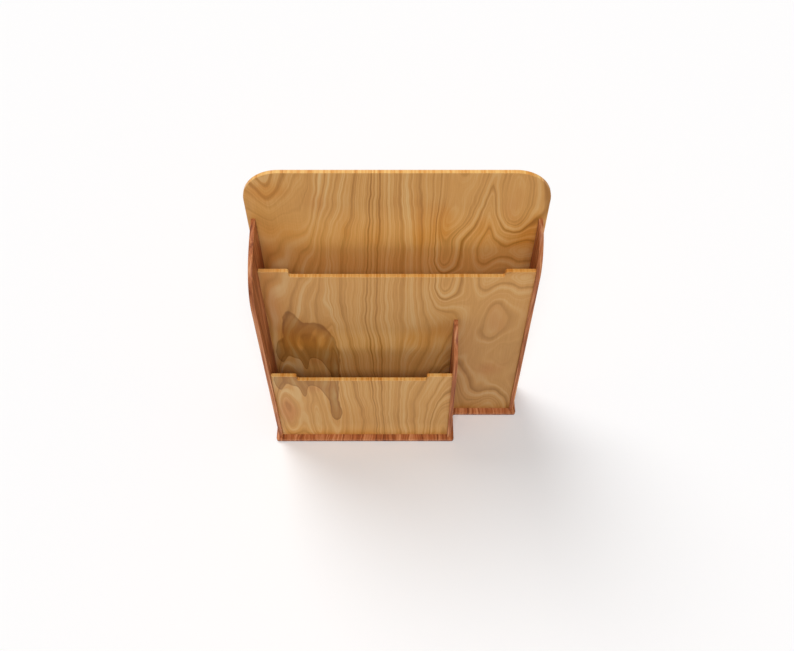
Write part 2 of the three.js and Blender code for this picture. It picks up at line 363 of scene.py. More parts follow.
growth, given = new_group("growth_rings", {"Place": "NodeSocketVector"}, "Rings")
swing = add_node(growth, "ShaderNodeGroup", {"Place": given["Place"], "Size": (40, 90, 34), "Shift": 3.0,
                                             "Detail": 1.0}, node_tree=wander)
flutter = add_node(growth, "ShaderNodeGroup", {"Place": given["Place"], "Size": (11, 60, 19), "Shift": 7.0,
                                               "Detail": 0.0}, node_tree=wander)
lift = add_node(growth, "ShaderNodeGroup", {"Place": given["Place"], "Size": (24, 90, 46), "Shift": 31.0,
                                            "Detail": 1.0}, node_tree=wander)
axes = add_node(growth, "ShaderNodeSeparateXYZ", [given["Place"]]).outputs
swung = add_node(growth, "ShaderNodeMath", [swing, SWING_MM, axes["X"]], operation="MULTIPLY_ADD")
across = add_node(growth, "ShaderNodeMath", [flutter, FLUTTER_MM, swung], operation="MULTIPLY_ADD")
along = add_node(growth, "ShaderNodeMath", [lift, LIFT_MM, axes["Z"]], operation="MULTIPLY_ADD")
centred = add_node(growth, "ShaderNodeMath", [across, STEADY_CENTRE_MM], operation="SUBTRACT")
in_widths = add_node(growth, "ShaderNodeMath", [centred, STEADY_HALF_WIDTH_MM], operation="DIVIDE")
steady = add_node(growth, "ShaderNodeMath", [in_widths], operation="TANH")
rings = add_node(growth, "ShaderNodeMath", [steady, STEADY_RINGS], operation="MULTIPLY")
rings = add_swellings(growth, across, along, rings, RING_SWELLINGS)
drift = add_node(growth, "ShaderNodeGroup", {"Place": given["Place"], "Size": (60, 200, 140), "Shift": 5.0,
                                             "Detail": 1.0}, node_tree=wander)
rings = add_node(growth, "ShaderNodeMath", [drift, DRIFT_RINGS, rings], operation="MULTIPLY_ADD")
ripple = add_node(growth, "ShaderNodeGroup", {"Place": given["Place"], "Size": (17, 80, 40), "Shift": 9.0,
                                              "Detail": 1.0}, node_tree=wander)
rings = add_node(growth, "ShaderNodeMath", [ripple, RIPPLE_RINGS, rings], operation="MULTIPLY_ADD")
add_node(growth, "NodeGroupOutput", [rings])
print("golden plank:", len(RING_SWELLINGS), "swellings over", 2 * STEADY_RINGS, "rings")

# %% [markdown]
# ## Tone of each ring
#
# The tone of the wood differs from year to year. A noise that reads only the ring count gives each
# ring its own tone, so the lines come out strong and faint by turns. Over it, a table names the
# rings that stand out clearly, because the eye follows those few lines.

# %% Group: tone of each ring
# Each row: lines for each ring, how strongly they show, and which part of the noise they read.
FAINT_LINES = ((0.4, 0.5, 11.0), (1.3, 0.6, 3.0), (2.9, 0.6, 50.0), (6.5, 0.5, 70.0))
# Each row: the ring, half its width in rings, and its tone, dark below zero and pale above it.
CLEAR_LINES = (
    (-18.6, 0.3, 0.4), (-18.0, 0.25, -0.6), (-17.2, 0.3, 0.4), (-16.2, 0.4, -0.75), (-15.4, 0.2, 0.2),
    (-14.9, 0.15, -0.3), (-14.3, 0.2, 0.2), (-13.7, 0.15, -0.3), (-12.9, 0.2, 0.2), (-12.3, 0.12, -0.3),
    (-11.7, 0.2, 0.3), (-11.2, 0.12, -0.4), (-10.6, 0.2, 0.4), (-10.1, 0.1, -0.3), (-9.4, 0.25, -0.4),
    (-8.5, 0.2, 0.3), (-7.3, 0.25, 0.3), (-6.2, 0.35, -0.6), (-5.2, 0.12, -0.25), (-3.5, 0.25, 0.2),
    (-2.95, 0.14, -0.35), (-2.2, 0.2, -0.7), (-1.4, 0.12, -0.45), (-1.0, 0.12, 0.25), (0.0, 0.2, -0.8),
    (2.3, 0.3, 0.35), (3.2, 0.22, 0.3), (5.0, 0.28, -0.65), (5.5, 0.15, 0.4), (6.4, 0.16, 0.3),
    (8.8, 0.2, 0.3), (9.4, 0.25, -0.7), (10.4, 0.22, 0.3), (12.0, 0.2, -0.65), (12.6, 0.18, 0.35),
    (13.95, 0.14, -0.6), (14.5, 0.16, 0.4), (15.4, 0.16, -0.5), (16.1, 0.18, 0.35), (17.0, 0.2, -0.35),
    (18.4, 0.4, -0.4),
)

line_inputs = {name: "NodeSocketFloat" for name in ("Rings", "Total", "Ring", "Half Width", "Tone")}
clear_line, given = new_group("clear_line", line_inputs, "Total")
apart = add_node(clear_line, "ShaderNodeMath", [given["Rings"], given["Ring"]], operation="SUBTRACT")
in_widths = add_node(clear_line, "ShaderNodeMath", [apart, given["Half Width"]], operation="DIVIDE")
squared = add_node(clear_line, "ShaderNodeMath", [in_widths, in_widths], operation="MULTIPLY")
negative = add_node(clear_line, "ShaderNodeMath", [squared, -1.0], operation="MULTIPLY")
share = add_node(clear_line, "ShaderNodeMath", [negative], operation="EXPONENT")
added = add_node(clear_line, "ShaderNodeMath", [share, given["Tone"], given["Total"]],
                 operation="MULTIPLY_ADD")
add_node(clear_line, "NodeGroupOutput", [added])

ring_tone, given = new_group("ring_tone", {"Rings": "NodeSocketFloat"}, "Tone")
tone = 0.0
for lines, strength, shift in FAINT_LINES:
    counted = add_node(ring_tone, "ShaderNodeMath", [given["Rings"], lines, shift], operation="MULTIPLY_ADD")
    noise = add_node(ring_tone, "ShaderNodeTexNoise", {"W": counted, "Scale": 1.0, "Detail": 0.0},
                     noise_dimensions="1D")
    about_zero = add_node(ring_tone, "ShaderNodeMath", [noise, 0.5], operation="SUBTRACT")
    tone = add_node(ring_tone, "ShaderNodeMath", [about_zero, strength, tone], operation="MULTIPLY_ADD")
for ring, half_width, line_tone in CLEAR_LINES:
    tone = add_node(ring_tone, "ShaderNodeGroup", {"Rings": given["Rings"], "Total": tone, "Ring": ring,
                                                   "Half Width": half_width, "Tone": line_tone},
                    node_tree=clear_line)
add_node(ring_tone, "NodeGroupOutput", [tone])


# %% [markdown]
# ## Golden wood: the face
#
# The shade of a face is the tone of its rings, made weaker where the figure fades, with slow
# changes of tone and fine fibres over it. Real fibres are a few hundredths of a millimetre wide.
# They are drawn about a millimetre wide here, because finer ones wouldn't show in the picture.

# %% Shade of the face
# Where the figure fades, in the same form as the rings. The height is the share of it that goes.
FADED_SWELLINGS = (
    (-118, 362, 36, 60, 0.5, 1.5, 0),
    (122, 195, 34, 85, 0.35, 1.5, 0),
    (117, 224, 26, 50, 0.25, 1.5, 0),
    (60, 408, 18, 42, 0.5, 1.5, 0),
    (129, 404, 16, 40, 0.55, 1.5, 0),
    (-30, 250, 90, 90, 0.22, 1.5, 0),
    (-20, 70, 110, 100, 0.3, 1.5, 0),
)
FIGURE_STRENGTH = 0.9
FIGURE_CHANGE = 0.3
SLOW_STRENGTH = 0.12
FIBRE_STRENGTH = 0.16
FIBRE_SIZE_MM = (1.0, 20, 34)


def face_shade(tree, place_mm, axes):
    rings = add_node(tree, "ShaderNodeGroup", {"Place": place_mm}, node_tree=growth)
    tone = add_node(tree, "ShaderNodeGroup", {"Rings": rings}, node_tree=ring_tone)
    clearness = add_node(tree, "ShaderNodeGroup", {"Place": place_mm, "Size": (70, 200, 90), "Shift": 19.0,
                                                   "Detail": 1.0}, node_tree=wander)
    strength = add_node(tree, "ShaderNodeMath", [clearness, FIGURE_CHANGE, FIGURE_STRENGTH],
                        operation="MULTIPLY_ADD")
    faded = add_swellings(tree, axes["X"], axes["Z"], 0.0, FADED_SWELLINGS)
    strength = add_node(tree, "ShaderNodeMath", [strength, faded], operation="SUBTRACT", use_clamp=True)
    slow = add_node(tree, "ShaderNodeGroup", {"Place": place_mm, "Size": (45, 200, 120), "Shift": 4.0,
                                              "Detail": 1.0}, node_tree=wander)
    fibres = add_node(tree, "ShaderNodeGroup", {"Place": place_mm, "Size": FIBRE_SIZE_MM, "Shift": 0.0,
                                                "Detail": 3.0}, node_tree=wander)
    shade = add_node(tree, "ShaderNodeMath", [tone, strength], operation="MULTIPLY")
    shade = add_node(tree, "ShaderNodeMath", [slow, SLOW_STRENGTH, shade], operation="MULTIPLY_ADD")
    shade = add_node(tree, "ShaderNodeMath", [fibres, FIBRE_STRENGTH, shade], operation="MULTIPLY_ADD")
    return shade, fibres


# %% [markdown]
# ## Golden wood: the end grain
#
# The top edge of each board shows the cut ends of the fibres as short bands. All faces that look
# up are also painted lighter and warmer, as painted light from above; the one on the back panel,
# which nothing shades, is the brightest wood in the picture. The normal tells which faces look up.
# There a noise that is narrow across the board and very long the other ways draws the bands.

# %% Shade of the end grain, with painted light on the faces that look up
END_BAND_SIZE_MM = (2.6, 200, 300)
END_BAND_STRENGTH = 0.9
# Painted light: how much lighter the faces that look up are painted.
END_PAINTED_LIGHT = 0.45


def add_end_grain(tree, place_mm, facing, shade):
    on_end = add_node(tree, "ShaderNodeMapRange", [facing["Z"], 0.3, 0.8, 0.0, 1.0])
    bands = add_node(tree, "ShaderNodeGroup", {"Place": place_mm, "Size": END_BAND_SIZE_MM, "Shift": 12.0,
                                               "Detail": 2.0}, node_tree=wander)
    end_shade_and_light = add_node(tree, "ShaderNodeMath", [bands, END_BAND_STRENGTH, END_PAINTED_LIGHT],
                         operation="MULTIPLY_ADD")
    shade = add_node(tree, "ShaderNodeMath", [end_shade_and_light, on_end, shade], operation="MULTIPLY_ADD")
    return on_end, shade


# %% Colours of face and end grain
# Painted shade: the faces turn a little cooler and greyer from the upper height down to the
# lower one.
LOW_SHADE_FROM_MM = 400.0
LOW_SHADE_FULL_MM = 120.0


def golden_colour(tree, shade, axes, on_end):
    colour = add_node(tree, "ShaderNodeGroup", {"Shade": shade, "Dark": linear("#a86d24"),
                                                "Middle": linear("#dda053"), "Pale": linear("#efc887")},
                      node_tree=three_tones)
    low_shade = add_node(tree, "ShaderNodeMapRange", [axes["Z"], LOW_SHADE_FROM_MM, LOW_SHADE_FULL_MM, 0.0, 1.0],
                     interpolation_type="SMOOTHSTEP")
    low_shade_face = add_node(tree, "ShaderNodeMath", [low_shade, on_end], operation="SUBTRACT", use_clamp=True)
    colour = add_node(tree, "ShaderNodeMix", [low_shade_face, colour, linear("#e9ecf5")], data_type="RGBA",
                      blend_type="MULTIPLY")
    # Painted light: the faces that look up are tinted warmer.
    return add_node(tree, "ShaderNodeMix", [on_end, colour, linear("#fff2d6")], data_type="RGBA",
                    blend_type="MULTIPLY")


# %% [markdown]
# ## Golden wood: golden and reddish patches
#
# No plank is of one colour. Some patches are more golden and some more reddish, all with soft
# edges. They are placed like the ring swellings, made uneven by a cloud of noise, and laid on as
# thin tints. The last golden row is a warm strip along the foot, which is painted bounce light from
# the red base.

# %% Patches of colour
GOLDEN_SWELLINGS = (
    (-57, 345, 10, 36, 0.6, 1.0, 0),
    (-25, 345, 16, 50, 0.3, 1.0, 0),
    (28, 340, 18, 50, 0.9, 1.0, 0),
    (150, 352, 12, 30, 0.8, 1.0, 0),
    (53, 362, 8, 26, 1.0, 1.0, 0),
    (100, 352, 12, 26, 0.8, 1.0, 0),
    (132, 322, 26, 14, 0.7, 1.0, 0),
    (20, 186, 14, 34, 0.9, 1.0, 0),
    (56, 204, 14, 26, 0.8, 1.0, 0),
    (-110, 190, 27, 34, 1.4, 1.0, 0),
    (-128, 345, 34, 16, 0.5, 1.0, 0),
    (-60, 40, 26, 50, 0.5, 1.0, 0),
    (-140, 410, 24, 16, 0.9, 1.0, 0),
    # Painted bounce light: a warm strip along the foot of the panels.
    (0, 3, 300, 11, 0.6, 1.5, 0),
)
REDDISH_SWELLINGS = (
    (-142, 68, 9, 34, 1.5, 0.8, 0),
    (118, 225, 12, 34, 0.6, 1.0, 0),
    (120, 112, 22, 20, 0.7, 1.0, 0),
    (-92, 395, 14, 24, 0.5, 1.0, 0),
    (126, 390, 12, 34, 0.5, 1.0, 0),
    (-100, 130, 16, 12, 0.6, 1.0, 0),
    (-148, 250, 13, 70, 0.9, 1.0, 0),
)
CLOUD_STRENGTH = 0.35
PATCH_STRENGTH = 0.9


def add_patches(tree, place_mm, axes, colour):
    cloud = add_node(tree, "ShaderNodeGroup", {"Place": place_mm, "Size": (30, 200, 60), "Shift": 40.0,
                                               "Detail": 1.0}, node_tree=wander)
    cloud = add_node(tree, "ShaderNodeMath", [cloud, CLOUD_STRENGTH], operation="MULTIPLY")
    for rows, tint in ((GOLDEN_SWELLINGS, "#f6e2b4"), (REDDISH_SWELLINGS, "#f4ddd0")):
        patch = add_swellings(tree, axes["X"], axes["Z"], cloud, rows)
        tinted = add_node(tree, "ShaderNodeMapRange", [patch, 0.1, 1.1, 0.0, PATCH_STRENGTH],
                          interpolation_type="SMOOTHSTEP")
        colour = add_node(tree, "ShaderNodeMix", [tinted, colour, linear(tint)], data_type="RGBA",
                          blend_type="MULTIPLY")
    return colour


# %% [markdown]
# ## Golden wood: the mineral stain
#
# Minerals that the tree drew up have left one greyish stain, with a sharp edge and a darker rim.
# Swellings give its outline here too: the wood is stained where their sum passes a half. Noise
# frays the edge a little, a few cleared spots let the golden wood show, and the bright end grain
# stays free of it.

# %% Mineral stain
STAIN_SWELLINGS = (
    (-129, 200, 8, 48, 1.0, 1.5, 0),
    (-101, 177, 13.5, 40, 1.3, 1.5, 0),
    (-116, 147, 18, 13, 0.5, 1.5, 0),
    (-85, 124, 9, 42, 0.9, 1.5, -0.06),
    (-80, 66, 6, 24, 0.9, 1.5, 0),
    (-108, 92, 10, 40, -1.6, 0.6, 0),
    (-117, 122, 4, 26, 1.3, 1.0, 0),
    (-147, 150, 5, 30, 0.8, 1.0, 0),
)
CLEARED_SWELLINGS = (
    (-121, 170, 4, 20, 1.0, 1.0, 0),
    (-94, 178, 5, 22, 0.9, 1.0, 0.1),
    (-103, 192, 3, 18, 0.7, 1.0, 0.3),
)
FRAY_STRENGTH = 0.08
STAIN_STRENGTH = 0.75
STAIN_LEFT_WHERE_CLEARED = 0.25
RIM_STRENGTH = 0.7


def add_stain(tree, place_mm, axes, on_end, colour):
    fray = add_node(tree, "ShaderNodeGroup", {"Place": place_mm, "Size": (12, 200, 18), "Shift": 60.0,
                                              "Detail": 1.0}, node_tree=wander)
    fray = add_node(tree, "ShaderNodeMath", [fray, FRAY_STRENGTH], operation="MULTIPLY")
    stain = add_swellings(tree, axes["X"], axes["Z"], fray, STAIN_SWELLINGS)
    stained = add_node(tree, "ShaderNodeMapRange", [stain, 0.45, 0.55, 0.0, STAIN_STRENGTH],
                       interpolation_type="SMOOTHSTEP")
    cleared = add_swellings(tree, axes["X"], axes["Z"], fray, CLEARED_SWELLINGS)
    kept = add_node(tree, "ShaderNodeMapRange", [cleared, 0.3, 0.8, 1.0, STAIN_LEFT_WHERE_CLEARED],
                    interpolation_type="SMOOTHSTEP")
    stained = add_node(tree, "ShaderNodeMath", [stained, kept], operation="MULTIPLY")
    stained = add_node(tree, "ShaderNodeMath", [stained, on_end], operation="SUBTRACT", use_clamp=True)
    colour = add_node(tree, "ShaderNodeMix", [stained, colour, linear("#cdbfa0")], data_type="RGBA",
                      blend_type="MULTIPLY")
    inner_rim = add_node(tree, "ShaderNodeMapRange", [stain, 0.52, 0.7, RIM_STRENGTH, 0.0])
    rim = add_node(tree, "ShaderNodeMath", [stained, inner_rim], operation="MULTIPLY")
    return add_node(tree, "ShaderNodeMix", [rim, colour, linear("#cdb78e")], data_type="RGBA",
                    blend_type="MULTIPLY")


# %% [markdown]
# ## Golden wood: painted light in the pockets
#
# Deep in the pockets and near the foot, the front faces of the panels are painted paler: painted
# light that lifts the shade there. Each panel has one row that says where its painted part begins
# and what tint of painted shade the rest gets. A gain above one makes the painted part paler than
# the colours above, and the result is clamped.

# %% Painted light and shade on each panel
# Each row: the middle of the panel's thickness, the right end of its painted part, the heights below
# which it is all painted paler and above which none of it is, in millimetres, and the painted-shade
# tint of its open part.
PANEL_PAINTED_LIGHT = (
    (43.5, 165.0, 316.0, 388.0, "#f2f2f6"),
    (5.5, 68.0, 164.0, 204.0, "#f3f4fc"),
    (-35.5, 68.0, 6.0, 40.0, "#ffffff"),
)
PANEL_HALF_REACH_MM = 8
# Painted light: how much paler the painted part of each pocket is.
POCKET_LIGHT_GAIN = (1.22, 1.26, 1.36, 1.0)


def paint_pocket_light(tree, colour, place, facing):
    place_mm = add_node(tree, "ShaderNodeVectorMath", {"Vector": place, "Scale": 1000}, operation="SCALE")
    axes = add_node(tree, "ShaderNodeSeparateXYZ", [place_mm]).outputs
    in_front = add_node(tree, "ShaderNodeMath", [facing["Y"], -0.5], operation="LESS_THAN")
    for depth, right_end, all_below, none_above, open_shade_tint in PANEL_PAINTED_LIGHT:
        on_panel = add_node(tree, "ShaderNodeMath", [axes["Y"], depth, PANEL_HALF_REACH_MM],
                            operation="COMPARE")
        here = add_node(tree, "ShaderNodeMath", [on_panel, in_front], operation="MULTIPLY")
        low_down = add_node(tree, "ShaderNodeMapRange", [axes["Z"], all_below, none_above, 1.0, 0.0])
        behind_pocket = add_node(tree, "ShaderNodeMath", [axes["X"], right_end], operation="LESS_THAN")
        painted_pocket_light = add_node(tree, "ShaderNodeMath", [low_down, behind_pocket], operation="MULTIPLY")
        tint = add_node(tree, "ShaderNodeMix", [painted_pocket_light, linear(open_shade_tint), POCKET_LIGHT_GAIN], data_type="RGBA")
        colour = add_node(tree, "ShaderNodeMix", [here, colour, tint], data_type="RGBA",
                          blend_type="MULTIPLY", clamp_result=True)
    return colour


# %% Material: golden wood
# Satin lacquer on pale flat-sawn hardwood. The eye gets a clear figure, soft wide highlights, and
# pale edges, partly rubbed by hands and partly a painted highlight.
GOLDEN_RUB_AND_HIGHLIGHT = 0.45
RING_RELIEF = 0.3
RELIEF_DEPTH = 0.0002
RELIEF_STRENGTH = 0.25


def golden_wood():
    material, tree = new_material("flat_sawn_golden_wood_satin_lacquer")
    place = add_node(tree, "ShaderNodeTexCoord").outputs["Object"]
    place_mm = add_node(tree, "ShaderNodeVectorMath", [place, (1000, 0, 1000)], operation="MULTIPLY")
    axes = add_node(tree, "ShaderNodeSeparateXYZ", [place_mm]).outputs
    normal = add_node(tree, "ShaderNodeNewGeometry").outputs["Normal"]
    facing = add_node(tree, "ShaderNodeSeparateXYZ", [normal]).outputs

    shade, fibres = face_shade(tree, place_mm, axes)
    on_end, shade = add_end_grain(tree, place_mm, facing, shade)
    colour = golden_colour(tree, shade, axes, on_end)
    colour = add_patches(tree, place_mm, axes, colour)
    colour = add_stain(tree, place_mm, axes, on_end, colour)
    # Painted light lifts the shade in the pockets and at the foot.
    colour = paint_pocket_light(tree, colour, place, facing)
    wear_and_highlight = add_node(tree, "ShaderNodeGroup", {"Place": place_mm}, node_tree=edge_wear_and_highlight)
    # Wear and painted highlight: the edges are laid on pale.
    rubbed_and_lit = add_node(tree, "ShaderNodeMath", [wear_and_highlight, GOLDEN_RUB_AND_HIGHLIGHT], operation="MULTIPLY")
    colour = add_node(tree, "ShaderNodeMix", [rubbed_and_lit, colour, linear("#f2c98a")], data_type="RGBA")

    relief = add_node(tree, "ShaderNodeMath", [shade, RING_RELIEF, fibres], operation="MULTIPLY_ADD")
    bump = add_node(tree, "ShaderNodeBump", {"Strength": RELIEF_STRENGTH, "Distance": RELIEF_DEPTH,
                                             "Height": relief})
    roughness = add_node(tree, "ShaderNodeMapRange", [fibres, -1.0, 1.0, 0.5, 0.4])
    lacquered = add_node(tree, "ShaderNodeBsdfPrincipled", {"Base Color": colour, "Roughness": roughness,
                                                           "Specular IOR Level": 0.3, "Normal": bump})
    add_node(tree, "ShaderNodeOutputMaterial", [lacquered])
    return material


# %% [markdown]
# ## Red wood
#
# The framing boards are a streaky red-brown hardwood such as padauk, cut so that the grain runs up
# the sides and from front to back in the base. Dark and light streaks of four widths lie side by
# side, short dark pores follow them, and all of them bend slowly together. Noise that is stretched
# along the grain is enough.

# %% Streaks of the red wood
# Each row: width and length of a streak in millimetres, how strongly it shows, and its part of the
# noise.
STREAKS = ((45, 300, 0.3, 17.0), (13, 200, 0.35, 2.0), (4.5, 120, 0.6, 5.0), (2.0, 60, 0.7, 8.0))
BEND_WIDTH_MM = 30
STREAK_BEND_MM = 3.5


def streak_size(width, length, grain):
    return [length if part == "along" else width * part for part in grain]


def grain_place(tree, place_mm, facing, grain, edge_scale, bend_length):
    sideways = add_node(tree, "ShaderNodeMath", [facing["X"]], operation="ABSOLUTE")
    on_edge = add_node(tree, "ShaderNodeMath", [sideways, 0.5], operation="LESS_THAN")
    along_edge = add_node(tree, "ShaderNodeVectorMath", [place_mm, edge_scale], operation="MULTIPLY")
    unbent = add_node(tree, "ShaderNodeMix", {"Factor": on_edge, "A": place_mm, "B": along_edge},
                      data_type="VECTOR")
    bend = add_node(tree, "ShaderNodeGroup", {"Place": place_mm, "Shift": 30.0, "Detail": 1.0,
                                              "Size": streak_size(BEND_WIDTH_MM, bend_length, grain)},
                    node_tree=wander)
    bend_mm = add_node(tree, "ShaderNodeMath", [bend, STREAK_BEND_MM], operation="MULTIPLY")
    return add_node(tree, "ShaderNodeVectorMath", [unbent, bend_mm], operation="ADD")


def streak_shade(tree, bent, grain):
    shade = 0.0
    for width, length, strength, shift in STREAKS:
        streaks = add_node(tree, "ShaderNodeGroup", {"Place": bent, "Size": streak_size(width, length, grain),
                                                     "Shift": shift, "Detail": 1.0}, node_tree=wander)
        shade = add_node(tree, "ShaderNodeMath", [streaks, strength, shade], operation="MULTIPLY_ADD")
    return shade


# %% Pores and painted contact shade
# The pores are really a tenth of a millimetre wide, and are drawn coarser so that they show. A thin
# dark line along the foot of the base, where it stands on the table, is painted contact shade.
PORE_WIDTH_MM = 0.5
PORE_LENGTH_MM = 9
PORE_STRENGTH = 0.6
CONTACT_SHADE_FULL_MM = 0.6
CONTACT_SHADE_TOP_MM = 1.8
CONTACT_SHADE_STRENGTH = 0.85


def pore_share(tree, bent, grain):
    pore_size = streak_size(PORE_WIDTH_MM, PORE_LENGTH_MM, grain)
    pores = add_node(tree, "ShaderNodeGroup", {"Place": bent, "Size": pore_size, "Shift": 14.0,
                                               "Detail": 1.0}, node_tree=wander)
    return add_node(tree, "ShaderNodeMapRange", [pores, 0.6, 1.1, 0.0, PORE_STRENGTH],
                    interpolation_type="SMOOTHSTEP")


def contact_shade_share(tree, place_mm, facing):
    height = add_node(tree, "ShaderNodeSeparateXYZ", [place_mm]).outputs["Z"]
    low_down = add_node(tree, "ShaderNodeMapRange", [height, CONTACT_SHADE_FULL_MM, CONTACT_SHADE_TOP_MM, CONTACT_SHADE_STRENGTH, 0.0],
                        interpolation_type="SMOOTHSTEP")
    not_below = add_node(tree, "ShaderNodeMath", [facing["Z"], -0.5], operation="GREATER_THAN")
    return add_node(tree, "ShaderNodeMath", [low_down, not_below], operation="MULTIPLY")


# %% Material: red wood
# The same satin lacquer on streaky red-brown hardwood. The eye gets a deep red frame round the
# golden boards, with pale orange edges, partly rubbed and partly a painted highlight.
RED_RUB_AND_HIGHLIGHT = 0.7


def red_wood(name, grain, edge_scale, bend_length):
    material, tree = new_material(name)
    place = add_node(tree, "ShaderNodeTexCoord").outputs["Object"]
    place_mm = add_node(tree, "ShaderNodeVectorMath", {"Vector": place, "Scale": 1000}, operation="SCALE")
    normal = add_node(tree, "ShaderNodeNewGeometry").outputs["Normal"]
    facing = add_node(tree, "ShaderNodeSeparateXYZ", [normal]).outputs

    bent = grain_place(tree, place_mm, facing, grain, edge_scale, bend_length)
    shade = streak_shade(tree, bent, grain)
    colour = add_node(tree, "ShaderNodeGroup", {"Shade": shade, "Dark": linear("#6b3117"),
                                                "Middle": linear("#b0673b"), "Pale": linear("#dfa06e")},
                      node_tree=three_tones)
    in_pore = pore_share(tree, bent, grain)
    colour = add_node(tree, "ShaderNodeMix", [in_pore, colour, linear("#5c2d1a")], data_type="RGBA")
    wear_and_highlight = add_node(tree, "ShaderNodeGroup", {"Place": place_mm}, node_tree=edge_wear_and_highlight)
    # Wear and painted highlight: the edges are laid on pale orange.
    rubbed_and_lit = add_node(tree, "ShaderNodeMath", [wear_and_highlight, RED_RUB_AND_HIGHLIGHT], operation="MULTIPLY")
    colour = add_node(tree, "ShaderNodeMix", [rubbed_and_lit, colour, linear("#e8a06a")], data_type="RGBA")
    # Painted contact shade: a thin dark line on the boards just above the table.
    contact_shade = contact_shade_share(tree, place_mm, facing)
    colour = add_node(tree, "ShaderNodeMix", [contact_shade, colour, linear("#33201a")], data_type="RGBA")

    relief = add_node(tree, "ShaderNodeMath", [in_pore, -1.0, shade], operation="MULTIPLY_ADD")
    bump = add_node(tree, "ShaderNodeBump", {"Strength": RELIEF_STRENGTH, "Distance": RELIEF_DEPTH,
                                             "Height": relief})
    roughness = add_node(tree, "ShaderNodeMapRange", [shade, -1.0, 1.0, 0.5, 0.4])
    lacquered = add_node(tree, "ShaderNodeBsdfPrincipled", {"Base Color": colour, "Roughness": roughness,
                                                           "Specular IOR Level": 0.2, "Normal": bump})
    add_node(tree, "ShaderNodeOutputMaterial", [lacquered])
    return material


# %% Dress the boards
# A grain says, for left to right, front to back and up in turn, which way the streaks run, and how
# many times wider than their width they are drawn the other ways. In the base they are four times
# as tall, so that they cross its thin edges whole. On the curved edges of the uprights the pattern
# is stretched four times from front to back, so that the streaks follow the edge.
UPRIGHT_GRAIN = (1, 1, "along")
UPRIGHT_EDGE_SCALE = (1, 0.25, 1)
UPRIGHT_BEND_LENGTH_MM = 140
CROSS_GRAIN = (1, "along", 4)
CROSS_EDGE_SCALE = (1, 1, 1)
CROSS_BEND_LENGTH_MM = 26


def dress(names, material):
    for name in names:
        boards[name].data.materials.clear()
        boards[name].data.materials.append(material)
    print(material.name, "on", len(names), "nodes")


upright_wood = red_wood("red_wood_upright_grain", UPRIGHT_GRAIN, UPRIGHT_EDGE_SCALE, UPRIGHT_BEND_LENGTH_MM)
cross_wood = red_wood("red_wood_cross_grain", CROSS_GRAIN, CROSS_EDGE_SCALE, CROSS_BEND_LENGTH_MM)
dress(["back_panel", "middle_panel", "front_panel"], golden_wood())
dress(["left_side", "right_side", "divider"], upright_wood)
dress(["base"], cross_wood)

# %% [markdown]
# ## Panel pins
#
# Twenty-three bright drawn steel pins hold the boards together. Drawing the wire through a die
# leaves fine lines along it, so the metal is smooth along the pin and slightly rough round it.

# %% Material: drawn steel
# Bright drawn steel with fine lines. The eye would get a thin long highlight, but the filler hides
# every pin in a finished holder. The lines are drawn upright: along the fifteen pins in the base, but
# across the eight level pins at the back, whose real lines also follow the wire. Real lines are finer
# than a hundredth of a millimetre, and are drawn coarser so that they show on a pin seen close.
DRAWN_LINE_SIZE_MM = (0.08, 0.08, 3)


def drawn_steel():
    material, tree = new_material("bright_drawn_pin_steel")
    place = add_node(tree, "ShaderNodeTexCoord").outputs["Object"]
    place_mm = add_node(tree, "ShaderNodeVectorMath", {"Vector": place, "Scale": 1000}, operation="SCALE")
    lines = add_node(tree, "ShaderNodeGroup", {"Place": place_mm, "Size": DRAWN_LINE_SIZE_MM, "Shift": 0.0,
                                               "Detail": 2.0}, node_tree=wander)
    cloud = add_node(tree, "ShaderNodeGroup", {"Place": place_mm, "Size": (2, 2, 2), "Shift": 6.0,
                                               "Detail": 2.0}, node_tree=wander)
    colour = add_node(tree, "ShaderNodeGroup", {"Shade": cloud, "Dark": linear("#9c9c9a"),
                                                "Middle": linear("#a9aaa8"), "Pale": linear("#b4b5b4")},
                      node_tree=three_tones)
    roughness = add_node(tree, "ShaderNodeMapRange", [lines, -1.0, 1.0, 0.24, 0.36])
    bump = add_node(tree, "ShaderNodeBump", {"Strength": 0.2, "Distance": 0.00002, "Height": lines})
    steel = add_node(tree, "ShaderNodeBsdfPrincipled", {"Base Color": colour, "Metallic": 1.0,
                                                       "Roughness": roughness, "Normal": bump})
    add_node(tree, "ShaderNodeOutputMaterial", [steel])
    return material


pins = [name for name in boards if "_pin_" in name]
dress(pins, drawn_steel())

# %% [markdown]
# ## Filler over the pin heads
#
# The pins are driven a little below the surface, and the maker fills each hole with wood filler and
# rubs it flush. Filler shrinks as it dries, so every spot ends up slightly dished, and matt beside
# the lacquer. The spots repeat, so Geometry Nodes make them: one dished plug, placed at a point for
# each pin, with a small turn and change of size from spot to spot. The points come from the boxes
# of the pins themselves.

